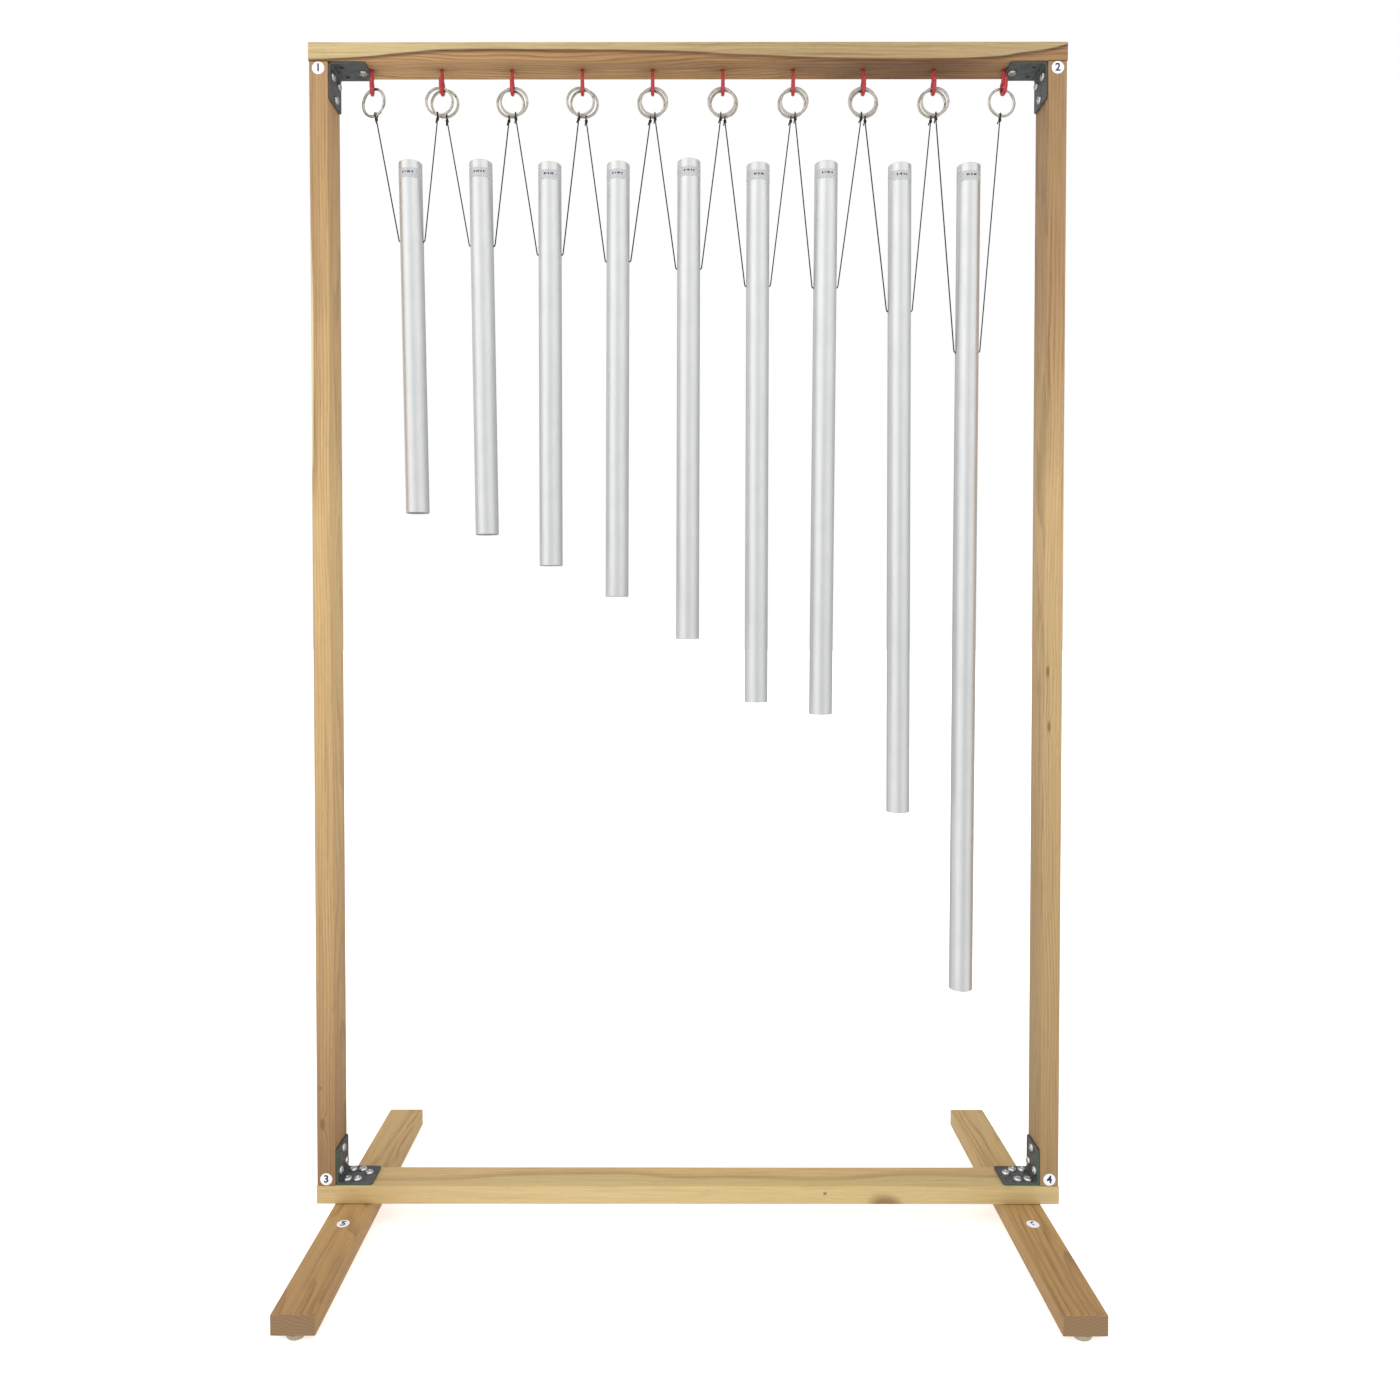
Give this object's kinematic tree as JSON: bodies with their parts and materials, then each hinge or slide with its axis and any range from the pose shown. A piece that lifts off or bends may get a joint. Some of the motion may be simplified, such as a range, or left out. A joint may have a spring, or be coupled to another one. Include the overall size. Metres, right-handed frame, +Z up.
{
  "type": "tubular chimes",
  "caption": "Row of satin metal tubes of graded length, hung on cords from rings and hooks under the top rail of a free-standing timber frame with two cross feet.",
  "frame": {"origin": "on the floor, under the middle of the frame", "axes": "+Z up, -Y towards the player, +X to the right, where the longest tube hangs"},
  "size_m": [0.812, 0.4, 1.2826],
  "materials": {
    "pale_timber": "planed, pale with brown bands",
    "warm_timber": "planed, warm brown",
    "brown_timber": "planed, mid brown",
    "black_steel": "matt black",
    "clear_rubber": "milky, soft",
    "red_coating": "glossy dipped coating",
    "nickel": "nickel plated spring steel",
    "satin_aluminium": "satin",
    "black_braid": "braided"
  },
  "bodies": {
    "stand": {"bottom_rail": "pale_timber", "bracket_bottom_left": "black_steel", "bracket_bottom_right": "black_steel", "bracket_top_left": "black_steel", "bracket_top_right": "black_steel", "bumper_back_left": "clear_rubber", "bumper_back_right": "clear_rubber", "bumper_front_left": "clear_rubber", "bumper_front_right": "clear_rubber", "hook_01": "red_coating", "hook_02": "red_coating", "hook_03": "red_coating", "hook_04": "red_coating", "hook_05": "red_coating", "hook_06": "red_coating", "hook_07": "red_coating", "hook_08": "red_coating", "hook_09": "red_coating", "hook_10": "red_coating", "left_foot": "brown_timber", "left_post": "warm_timber", "right_foot": "brown_timber", "right_post": "warm_timber", "ring_1_left": "nickel", "ring_1_right": "nickel", "ring_2_left": "nickel", "ring_2_right": "nickel", "ring_3_left": "nickel", "ring_3_right": "nickel", "ring_4_left": "nickel", "ring_4_right": "nickel", "ring_5_left": "nickel", "ring_5_right": "nickel", "ring_6_left": "nickel", "ring_6_right": "nickel", "ring_7_left": "nickel", "ring_7_right": "nickel", "ring_8_left": "nickel", "ring_8_right": "nickel", "ring_9_left": "nickel", "ring_9_right": "nickel", "top_rail": "pale_timber"},
    "sling_1": {"cord_1": "black_braid"},
    "chime_1": {"chime_tube_1": "satin_aluminium"},
    "sling_2": {"cord_2": "black_braid"},
    "chime_2": {"chime_tube_2": "satin_aluminium"},
    "sling_3": {"cord_3": "black_braid"},
    "chime_3": {"chime_tube_3": "satin_aluminium"},
    "sling_4": {"cord_4": "black_braid"},
    "chime_4": {"chime_tube_4": "satin_aluminium"},
    "sling_5": {"cord_5": "black_braid"},
    "chime_5": {"chime_tube_5": "satin_aluminium"},
    "sling_6": {"cord_6": "black_braid"},
    "chime_6": {"chime_tube_6": "satin_aluminium"},
    "sling_7": {"cord_7": "black_braid"},
    "chime_7": {"chime_tube_7": "satin_aluminium"},
    "sling_8": {"cord_8": "black_braid"},
    "chime_8": {"chime_tube_8": "satin_aluminium"},
    "sling_9": {"cord_9": "black_braid"},
    "chime_9": {"chime_tube_9": "satin_aluminium"}
  },
  "joints": [
    {"name": "sling_swing_1", "type": "hinge", "parent": "stand", "child": "sling_1", "pos_m": [-0.30502, -0.00236, 1.21344], "axis": [1, -0.0072, 0.0055], "range_deg": [-20, 20]},
    {"name": "tube_swing_1", "type": "hinge", "parent": "sling_1", "child": "chime_1", "pos_m": [-0.3002, -0.00236, 1.07655], "axis": [1, 0, 0], "range_deg": [-15, 15]},
    {"name": "sling_swing_2", "type": "hinge", "parent": "stand", "child": "sling_2", "pos_m": [-0.22867, 0.0025, 1.21357], "axis": [1, -0.003, -0.0016], "range_deg": [-20, 20]},
    {"name": "tube_swing_2", "type": "hinge", "parent": "sling_2", "child": "chime_2", "pos_m": [-0.2247, 0.0025, 1.07324], "axis": [1, 0, 0], "range_deg": [-15, 15]},
    {"name": "sling_swing_3", "type": "hinge", "parent": "stand", "child": "sling_3", "pos_m": [-0.15244, -0.00263, 1.21352], "axis": [1, -0.0067, 0], "range_deg": [-20, 20]},
    {"name": "tube_swing_3", "type": "hinge", "parent": "sling_3", "child": "chime_3", "pos_m": [-0.1498, -0.00263, 1.06196], "axis": [1, 0, 0], "range_deg": [-15, 15]},
    {"name": "sling_swing_4", "type": "hinge", "parent": "stand", "child": "sling_4", "pos_m": [-0.07574, 0.00269, 1.21342], "axis": [1, -0.0049, -0.0027], "range_deg": [-20, 20]},
    {"name": "tube_swing_4", "type": "hinge", "parent": "sling_4", "child": "chime_4", "pos_m": [-0.0762, 0.00269, 1.0566], "axis": [1, 0, 0], "range_deg": [-15, 15]},
    {"name": "sling_swing_5", "type": "hinge", "parent": "stand", "child": "sling_5", "pos_m": [0.00012, -0.00254, 1.21332], "axis": [1, -0.0006, -0.0003], "range_deg": [-20, 20]},
    {"name": "tube_swing_5", "type": "hinge", "parent": "sling_5", "child": "chime_5", "pos_m": [0.001, -0.00254, 1.04688], "axis": [1, 0, 0], "range_deg": [-15, 15]},
    {"name": "sling_swing_6", "type": "hinge", "parent": "stand", "child": "sling_6", "pos_m": [0.07642, 0.00265, 1.21331], "axis": [1, 0.0026, 0], "range_deg": [-20, 20]},
    {"name": "tube_swing_6", "type": "hinge", "parent": "sling_6", "child": "chime_6", "pos_m": [0.0765, 0.00265, 1.02984], "axis": [1, 0, 0], "range_deg": [-15, 15]},
    {"name": "sling_swing_7", "type": "hinge", "parent": "stand", "child": "sling_7", "pos_m": [0.15241, -0.00267, 1.21332], "axis": [1, 0.002, 0.0003], "range_deg": [-20, 20]},
    {"name": "tube_swing_7", "type": "hinge", "parent": "sling_7", "child": "chime_7", "pos_m": [0.1494, -0.00267, 1.02633], "axis": [1, 0, 0], "range_deg": [-15, 15]},
    {"name": "sling_swing_8", "type": "hinge", "parent": "stand", "child": "sling_8", "pos_m": [0.22907, 0.00266, 1.21332], "axis": [1, 0.0015, -0.0003], "range_deg": [-20, 20]},
    {"name": "tube_swing_8", "type": "hinge", "parent": "sling_8", "child": "chime_8", "pos_m": [0.2316, 0.00266, 1.00235], "axis": [1, 0, 0], "range_deg": [-15, 15]},
    {"name": "sling_swing_9", "type": "hinge", "parent": "stand", "child": "sling_9", "pos_m": [0.30425, -0.00163, 1.21318], "axis": [0.9995, 0.0307, -0.0036], "range_deg": [-20, 20]},
    {"name": "tube_swing_9", "type": "hinge", "parent": "sling_9", "child": "chime_9", "pos_m": [0.3046, -0.00163, 0.95682], "axis": [1, 0, 0], "range_deg": [-15, 15]}
  ]
}
